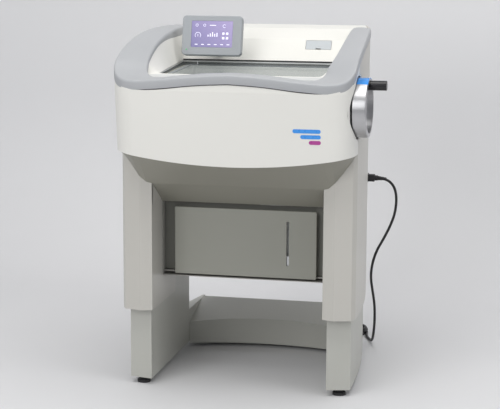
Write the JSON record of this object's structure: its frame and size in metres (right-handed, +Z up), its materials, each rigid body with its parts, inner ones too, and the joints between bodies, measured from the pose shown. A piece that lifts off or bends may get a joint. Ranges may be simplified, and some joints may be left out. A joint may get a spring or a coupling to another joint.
{
  "type": "cryostat microtome",
  "caption": "Floor-standing cryostat with a refrigerated rotary microtome, handwheel, sliding glass window, tilting screen and a cabinet that rises on its columns.",
  "frame": {"origin": "on the floor, in the middle of the bounding box seen from above, without the cord", "axes": "+Z up; -Y faces the user; +X towards the handwheel, on the user's right"},
  "size_m": [0.7835, 0.974, 1.0971],
  "materials": {
    "cover": "satin",
    "cover_grey": "satin",
    "underside": "satin",
    "rest_blue_grey": "satin",
    "leg_grey": "satin",
    "panel_grey_green": "matte",
    "frame_steel": "satin",
    "steel": "brushed",
    "bright_steel": "polished",
    "aluminium": "satin",
    "glass": "polished",
    "black_plastic": "gloss",
    "black_rubber": "matte",
    "foam": "matte",
    "seal": "matte",
    "blue_plastic": "gloss",
    "bezel_grey": "satin",
    "screen_grey": "satin",
    "display": "gloss",
    "bottle": "satin"
  },
  "bodies": {
    "base": {"leg_left": "leg_grey", "leg_right": "leg_grey", "base_stretcher": "leg_grey", "lift_tubes": "steel", "levelling_feet": "black_rubber", "power_cord": "black_rubber", "cord_coil": "black_rubber", "cord_plug": "black_rubber"},
    "castor_right": {"castor_wheel_right": "black_rubber"},
    "castor_left": {"castor_wheel_left": "black_rubber"},
    "cabinet": {"side_shell_right": "cover_grey", "side_shell_left": "cover_grey", "rear_cover": "cover_grey", "console": "cover", "chamber_bezel": "bezel_grey", "well_walls": "cover", "armrest": "rest_blue_grey", "front_panel": "cover", "belly_pan": "underside", "window_rails": "black_plastic", "chamber_tub": "steel", "insulation": "foam", "chamber_gasket": "seal", "cold_shelf": "aluminium", "microtome_housing": "steel", "guide_rods": "bright_steel", "knife_bed": "steel", "lift_masts": "steel", "crank_bearing": "aluminium", "wheel_dish": "cover", "bay_housing": "frame_steel", "compressor": "frame_steel", "condenser": "aluminium", "cord_connector": "black_rubber", "screen_arm": "screen_grey", "drive_belt": "black_rubber"},
    "window": {"window_glass": "glass", "window_handle": "black_plastic"},
    "vertical_slide": {"specimen_slide": "steel"},
    "feed_arm": {"specimen_arm": "bright_steel"},
    "specimen_tilt": {"specimen_head": "aluminium"},
    "knife_carriage": {"knife_base": "aluminium", "knife_holder": "steel", "knife_blade": "bright_steel"},
    "roll_guard": {"anti_roll_plate": "glass"},
    "knife_clamp": {"knife_lever": "black_plastic"},
    "wheel": {"handwheel": "steel", "wheel_insert": "blue_plastic", "drive_shaft": "steel"},
    "grip": {"wheel_grip": "black_plastic"},
    "lock_ring": {"wheel_lock": "black_plastic"},
    "crank": {"crank_shaft": "steel"},
    "screen": {"screen_housing": "screen_grey", "screen_panel": "display"},
    "flap": {"filter_flap": "screen_grey"},
    "drawer": {"drawer_front": "panel_grey_green", "drawer_tray": "steel", "drain_bottle": "bottle"},
    "fan_rotor": {"fan": "black_plastic"},
    "mains_switch": {"power_switch": "black_plastic"}
  },
  "joints": [
    {"name": "lift", "type": "slide", "parent": "base", "child": "cabinet", "axis": [0, 0, 1], "range_m": [-0.1, 0.1], "deforming": ["power_cord"]},
    {"name": "castor_right_spin", "type": "hinge", "parent": "base", "child": "castor_right", "pos_m": [0.1865, 0.344, 0.025], "axis": [1, 0, 0], "continuous": true},
    {"name": "castor_left_spin", "type": "hinge", "parent": "base", "child": "castor_left", "pos_m": [-0.2635, 0.344, 0.025], "axis": [1, 0, 0], "continuous": true},
    {"name": "window_slide", "type": "slide", "parent": "cabinet", "child": "window", "axis": [0, 0.9994, 0.0349], "range_m": [0, 0.18]},
    {"name": "specimen_stroke", "type": "slide", "parent": "cabinet", "child": "vertical_slide", "axis": [0, 0, 1], "range_m": [-0.03, 0.03]},
    {"name": "specimen_feed", "type": "slide", "parent": "vertical_slide", "child": "feed_arm", "axis": [0, -1, 0], "range_m": [0, 0.015]},
    {"name": "specimen_orientation", "type": "hinge", "parent": "feed_arm", "child": "specimen_tilt", "pos_m": [-0.0385, -0.012, 0.8], "axis": [1, 0, 0], "range_deg": [-8, 8]},
    {"name": "knife_approach", "type": "slide", "parent": "cabinet", "child": "knife_carriage", "axis": [0, 1, 0], "range_m": [-0.03, 0]},
    {"name": "roll_guard_hinge", "type": "hinge", "parent": "knife_carriage", "child": "roll_guard", "pos_m": [-0.0385, -0.13, 0.7163], "axis": [1, 0, 0], "range_deg": [0, 60]},
    {"name": "knife_clamp_lever", "type": "hinge", "parent": "knife_carriage", "child": "knife_clamp", "pos_m": [0.0398, -0.1, 0.6833], "axis": [-1, 0, 0], "range_deg": [0, 50]},
    {"name": "handwheel_turn", "type": "hinge", "parent": "cabinet", "child": "wheel", "pos_m": [0.3055, -0.27, 0.858], "axis": [1, 0, 0], "continuous": true},
    {"name": "grip_turn", "type": "hinge", "parent": "wheel", "child": "grip", "pos_m": [0.3335, -0.27, 0.922], "axis": [1, 0, 0], "continuous": true},
    {"name": "wheel_lock_turn", "type": "hinge", "parent": "cabinet", "child": "lock_ring", "pos_m": [0.2998, -0.27, 0.858], "axis": [1, 0, 0], "range_deg": [0, 25]},
    {"name": "crank_turn", "type": "hinge", "parent": "cabinet", "child": "crank", "pos_m": [0.0855, 0.154, 0.8], "axis": [1, 0, 0], "continuous": true},
    {"name": "screen_tilt", "type": "hinge", "parent": "cabinet", "child": "screen", "pos_m": [-0.1835, 0.042, 1.03], "axis": [-1, 0, 0], "range_deg": [-10, 20]},
    {"name": "flap_hinge", "type": "hinge", "parent": "cabinet", "child": "flap", "pos_m": [0.1275, 0.13021, 1.02], "axis": [-1, 0, 0], "range_deg": [0, 80]},
    {"name": "drawer_slide", "type": "slide", "parent": "cabinet", "child": "drawer", "axis": [0, -1, 0], "range_m": [0, 0.25]},
    {"name": "fan_spin", "type": "hinge", "parent": "cabinet", "child": "fan_rotor", "pos_m": [0.0815, 0.292, 0.432], "axis": [0, 1, 0], "continuous": true},
    {"name": "switch_rock", "type": "hinge", "parent": "cabinet", "child": "mains_switch", "pos_m": [-0.2285, 0.352, 0.62], "axis": [1, 0, 0], "range_deg": [-8, 8]}
  ],
  "couplings": [
    {"joint": "crank_turn", "follows": "handwheel_turn", "ratio": 1}
  ]
}
